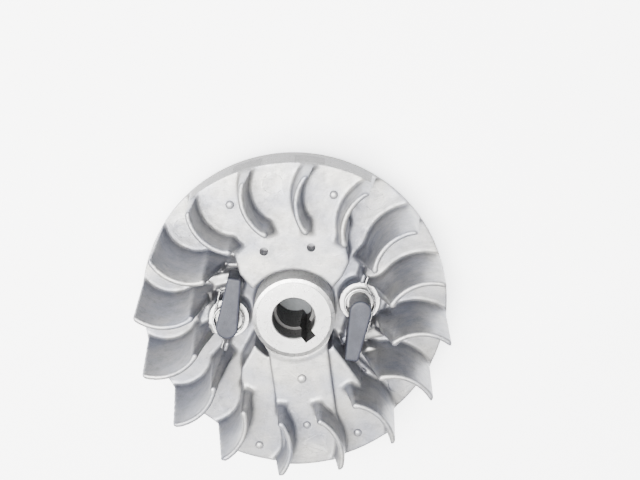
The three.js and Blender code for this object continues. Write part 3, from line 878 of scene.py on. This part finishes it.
def ejector_rings():
    """Shallow circles left by the die's ejector pins."""
    places = [
        (-0.5, 43.9, DECK_Z), (-32.1, 30.0, FLOOR_Z), (-29.2, -31.7, FLOOR_Z), (1.4, -43.2, STRIP_Z),
        (30.5, -32.5, FLOOR_Z), (30.1, 31.2, FLOOR_Z),
    ]
    inner, middle, outer = EJECTOR_RADIUS - 0.3, EJECTOR_RADIUS, EJECTOR_RADIUS + 0.3
    return [
        lathe([(inner, z + 0.3), (middle, z - 0.2), (outer, z + 0.3)], (x, y), 48, CAST)
        for x, y, z in places
    ]


def nubs():
    """Small raised studs on the two decks."""
    places = [
        (-14.6, 39.0, DECK_Z, 1.3), (17.6, 38.0, DECK_Z, 1.3), (-0.1, -20.1, STRIP_Z, 1.45),
        (-0.6, -36.2, STRIP_Z, 1.2), (-17.1, -42.2, DECK_Z, 1.3), (15.3, -42.0, DECK_Z, 1.3),
    ]
    return [
        lathe(
            [
                (0, z - 1), (r, z - 1), (r, z + NUB_HEIGHT * 0.45), (r * 0.8, z + NUB_HEIGHT * 0.8),
                (r * 0.4, z + NUB_HEIGHT * 0.95), (0, z + NUB_HEIGHT),
            ],
            (x, y), 32, CAST,
        )
        for x, y, z, r in places
    ]


build_casting()

# ---- Pawls ---------------------------------------------------------------------------------------


def seat(mesh, turn, angle=0):
    """Turns a piece made about the Z axis to its angle, and moves it to one side's pivot."""
    at_pivot = Matrix.Translation((PIVOT_X * MM, 0, 0)) @ Matrix.Rotation(math.radians(angle), 4, "Z")
    mesh.transform(Matrix.Rotation(math.radians(turn), 4, "Z") @ at_pivot)


def pawl_distance(grid):
    """One moulding in its own frame: the pin on the Z axis and the lever along +X."""
    x, y, z, radius = grid.x, grid.y, grid.z, grid.radius
    pin = smooth_max(radius - PIN_RADIUS, grid.slab(PIN_LOW_Z, BEARING_Z + 1), 0.7)
    groove = np.maximum(GROOVE_RADIUS - radius, np.abs(z - GROOVE_Z) - GROOVE_HALF_WIDTH)
    pin = np.maximum(pin, -groove)

    plan = outline_distance(pawl_outline(), x, y)
    lever = smooth_max(plan, grid.slab(BEARING_Z, BEARING_Z + PAWL_HEIGHT), 0.7)
    pocket = np.maximum(radius - 6.5, z - BEARING_Z - 3.4)
    pocket = np.maximum(pocket, PAWL_HEAD_RADIUS - radius)
    lever = smooth_max(lever, -pocket, 0.3)
    pawl = smooth_min(pin, lever, 0.3)

    post = smooth_max(np.hypot(x - POST_X, y) - POST_RADIUS, grid.slab(17.4, BEARING_Z + 1), 0.4)
    return smooth_min(pawl, post, 0.4)


def build_pawls():
    grid = Grid((-4.2, -4.2, 0.5), (17.6, 4.2, 30.8), cell=0.2)
    model = grid.skin("pawl", pawl_distance(grid))
    thin_out(model, share=0.35)
    material = pawl_plastic()
    for side, turn in SIDES.items():
        pawl = bpy.data.objects.new(f"plastic_pawl_{side}", model.data.copy())
        bpy.context.collection.objects.link(pawl)
        seat(pawl.data, turn, PAWL_REST_ANGLE)
        pawl.data.materials.append(material)
        shade(pawl, sharp_degrees=38)
        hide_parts(f"pawl_{side}")
        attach(pawl, f"pawl_{side}")
    bpy.data.objects.remove(model)


build_pawls()

# ---- Torsion springs -----------------------------------------------------------------------------


def leaving_angle(point, side):
    """Direction of the coil point whose tangent reaches the point, clockwise (1) or not (-1)."""
    return direction_of(point) + side * math.degrees(math.acos(COIL_RADIUS / np.hypot(*point)))


def spring_path():
    """From the leg beside the lever, up round the coil, to the kinked leg on the spring stop."""
    beside_lever = PAWL_HEAD_RADIUS + SEAM + WIRE_RADIUS
    lever_side = turned((9.5, beside_lever), PAWL_REST_ANGLE)
    start, end = from_boss(1.36, 78.5), from_boss(3.29, 76)
    run = (end - start) / np.hypot(*(end - start))
    aside = np.array((run[1], -run[0])) * (RIB_HALF + SEAM + WIRE_RADIUS)
    kink, tip = start + aside, end + aside
    first = leaving_angle(lever_side, 1)
    last = leaving_angle(kink, -1) + 720
    low = BEARING_Z + WIRE_RADIUS + 0.1
    steps = 110
    rise = COIL_PITCH * (last - first) / 360
    coil = arc((0, 0), COIL_RADIUS, first, last, steps)
    path = [(*lever_side, low)]
    path += [(*point, low + rise * i / steps) for i, point in enumerate(coil)]
    path += [(*(kink + (kink - tip) * share), low + rise) for share in (0.25, 0.12)]
    path += [(*(kink + (tip - kink) * share), low + rise) for share in (0.06, 1)]
    return [np.array(point) for point in path]


def tube(path, radius, sides=12):
    """A round wire along a path, with flat ends."""
    up = np.array((0.0, 0.0, 1.0))
    points, count = [], len(path)
    for i, middle in enumerate(path):
        ahead = path[min(i + 1, count - 1)] - path[max(i - 1, 0)]
        ahead /= np.linalg.norm(ahead)
        side = np.cross(up, ahead)
        side /= np.linalg.norm(side)
        over = np.cross(ahead, side)
        for step in range(sides):
            angle = 2 * math.pi * step / sides
            offset = radius * (math.cos(angle) * side + math.sin(angle) * over)
            points.append((middle + offset) * MM)
    faces = [list(range(sides))[::-1], [(count - 1) * sides + step for step in range(sides)]]
    for ring in range(count - 1):
        for step in range(sides):
            after = (step + 1) % sides
            start = ring * sides
            faces.append([start + step, start + after, start + sides + after, start + sides + step])
    return points, faces


spring_steel = bright_steel("spring_steel", 0.42, 0.3)
for side, turn in SIDES.items():
    points, faces = tube(spring_path(), WIRE_RADIUS)
    spring = new_object(f"wire_spring_{side}", points, faces)
    seat(spring.data, turn)
    spring.data.materials.append(spring_steel)
    shade(spring, sharp_degrees=50)
    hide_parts(f"pawl_spring_{side}")
    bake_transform(spring)

# ---- E-clips -------------------------------------------------------------------------------------


def clip_outline():
    """A C whose two ends and middle reach in to the pin's groove as prongs."""
    outer, waist, inner, mouth, prong = 5.05, 3.75, 2.4, 42, 14
    near, far = mouth, 360 - mouth
    return [
        *arc((0, 0), outer, near, far, 48),
        *arc((0, 0), inner, far, far - 2 * prong, 6),
        *arc((0, 0), waist, far - 2.6 * prong, 180 + 1.6 * prong, 10),
        *arc((0, 0), inner, 180 + prong, 180 - prong, 6),
        *arc((0, 0), waist, 180 - 1.6 * prong, near + 2.6 * prong, 10),
        *arc((0, 0), inner, near + 2 * prong, near, 6),
    ]


clip_steel = bright_steel("clip_steel", 0.62, 0.28)
for side, turn in SIDES.items():
    outline = clip_outline()
    clip = merged(f"retaining_clip_{side}", [stack([(CLIP_LOW_Z, outline), (CLIP_HIGH_Z, outline)])])
    seat(clip.data, turn, PAWL_REST_ANGLE)
    bevel = clip.modifiers.new("bevel", "BEVEL")
    bevel.width = 0.08 * MM
    bevel.segments = 2
    bevel.limit_method = "ANGLE"
    bevel.angle_limit = math.radians(50)
    settle(clip)
    clip.data.materials.append(clip_steel)
    shade(clip, sharp_degrees=35)
    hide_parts(f"e_clip_{side}")
    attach(clip, f"pawl_{side}")

# ---- Magnet and pole shoes -----------------------------------------------------------------------


def laminated(outline_at, low, high, sheets):
    """A stack of sheets pressed together: each sheet's edges are broken a little."""
    thickness = (high - low) / sheets
    edge = 0.05
    levels = []
    for sheet in range(sheets):
        bottom = low + sheet * thickness
        levels += [
            (bottom, outline_at(edge)), (bottom + edge, outline_at(0)),
            (bottom + thickness - edge, outline_at(0)),
        ]
    levels.append((high, outline_at(edge)))
    return stack(levels)


def shoe_outline(side, inset):
    inner_x, outer_x = SHOE_INNER_X + inset, SHOE_OUTER_X - inset
    radius = DISC_RADIUS - inset
    start, end = (math.degrees(math.acos(x / radius)) for x in (outer_x, inner_x))
    inner_y = INSERT_INNER_Y + inset
    back = [np.array((inner_x, inner_y)), np.array((outer_x, inner_y))]
    outline = [*back, *arc((0, 0), radius, start, end, 8)]
    if side < 0:
        outline = [point * (-1, 1) for point in outline][::-1]
    return [turned(point, MAGNET_ANGLE - 90) for point in outline]


pole_steel = bright_steel("pole_steel", 0.17, 0.42, 0.6, WALL_GLOSS)
for name, side in (("right", 1), ("left", -1)):
    shoe = merged(
        f"laminated_shoe_{name}",
        [laminated(lambda inset: shoe_outline(side, inset), INSERT_LOW_Z, INSERT_HIGH_Z, 20)],
    )
    shoe.data.materials.append(pole_steel)
    shade(shoe, sharp_degrees=30)
    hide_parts(f"pole_shoe_{name}")
    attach(shoe, "flywheel")

magnet = merged(
    "bar_magnet",
    [
        block(
            (-MAGNET_WIDTH / 2, INSERT_INNER_Y, INSERT_LOW_Z),
            (MAGNET_WIDTH / 2, INSERT_INNER_Y + MAGNET_DEPTH, INSERT_HIGH_Z),
            MAGNET_ANGLE - 90,
        )
    ],
)
chamfer = magnet.modifiers.new("chamfer", "BEVEL")
chamfer.width = 0.4 * MM
chamfer.segments = 2
settle(magnet)
magnet.data.materials.append(sintered_magnet())
shade(magnet, sharp_degrees=35)
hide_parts("magnet")
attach(magnet, "flywheel")

# ---- Floor, light and camera ---------------------------------------------------------------------

PAPER_Z = -0.4 * MM
PAPER_HALF = 2.0
HORIZON = (0.05, 0.056, 0.085, 1)
ZENITH = (0.27, 0.30, 0.42, 1)

paper_corners = [(x * PAPER_HALF, y * PAPER_HALF) for x, y in ((-1, -1), (1, -1), (1, 1), (-1, 1))]
floor = new_object("floor", [(x, y, PAPER_Z) for x, y in paper_corners], [[0, 1, 2, 3]])
floor.data.materials.append(pale_paper())

# A small dark disc just under the hub, hidden but for the view down the bore: painted shadow on the paper
# beneath the hub
shadow_pad = merged("painted_shadow_pad", [disc_of(HUB_BACK_RADIUS - 0.5, -0.39, -0.02, (0, 0), 0, 64)])
shadow_pad.data.materials.append(painted_shadow_grey())

world = bpy.data.worlds.new("studio")
bpy.context.scene.world = world
world.use_nodes = True
sky_nodes = world.node_tree.nodes
sky_links = world.node_tree.links
sky_place = sky_nodes.new("ShaderNodeTexCoord")
sky_height = sky_nodes.new("ShaderNodeSeparateXYZ")
sky_ramp = sky_nodes.new("ShaderNodeValToRGB")
sky_ramp.color_ramp.elements[0].position = 0.0
sky_ramp.color_ramp.elements[0].color = HORIZON
sky_ramp.color_ramp.elements[1].position = 1.0
sky_ramp.color_ramp.elements[1].color = ZENITH
sky_links.new(sky_place.outputs["Generated"], sky_height.inputs["Vector"])
sky_links.new(sky_height.outputs["Z"], sky_ramp.inputs["Fac"])
sky_links.new(sky_ramp.outputs["Color"], sky_nodes["Background"].inputs["Color"])
sky_nodes["Background"].inputs["Strength"].default_value = 1.0


def soft_box(name, location, target, size, power):
    light = bpy.data.lights.new(name, "AREA")
    light.shape = "DISK"
    light.size = size
    light.energy = power
    light.color = (1.0, 0.98, 0.94)
    obj = bpy.data.objects.new(name, light)
    obj.location = location
    obj.rotation_euler = (Vector(target) - Vector(location)).to_track_quat("-Z", "Y").to_euler()
    bpy.context.collection.objects.link(obj)
    return obj


LIT_POINT = (0, 0, 0.02)
soft_box("key_light", (-0.14, 0.10, 0.88), LIT_POINT, size=0.7, power=54)
soft_box("front_fill", (0.05, 0.65, 0.42), LIT_POINT, size=0.5, power=1.5)


def aim_camera(target_mm, bearing, elevation, distance_mm, focal_length):
    """Looks down at the target, with the far side of the wheel at the picture's foot."""
    bearing, elevation = math.radians(bearing), math.radians(elevation)
    back = Vector((
        math.cos(elevation) * math.cos(bearing),
        math.cos(elevation) * math.sin(bearing),
        math.sin(elevation),
    ))
    right = Vector((math.sin(bearing), -math.cos(bearing), 0))
    up = back.cross(right)
    data = bpy.data.cameras.new("camera")
    data.lens = focal_length
    data.sensor_width = 36
    data.clip_start = 0.01
    camera = bpy.data.objects.new("camera", data)
    bpy.context.collection.objects.link(camera)
    camera.matrix_world = Matrix.Translation((Vector(target_mm) + back * distance_mm) * MM) @ Matrix(
        (right, up, back)
    ).transposed().to_4x4()
    bpy.context.scene.camera = camera


aim_camera(
    target_mm=(11.55, 24.2, 27),
    bearing=82.57,
    elevation=74.5,
    distance_mm=355.7,
    focal_length=64.32,
)
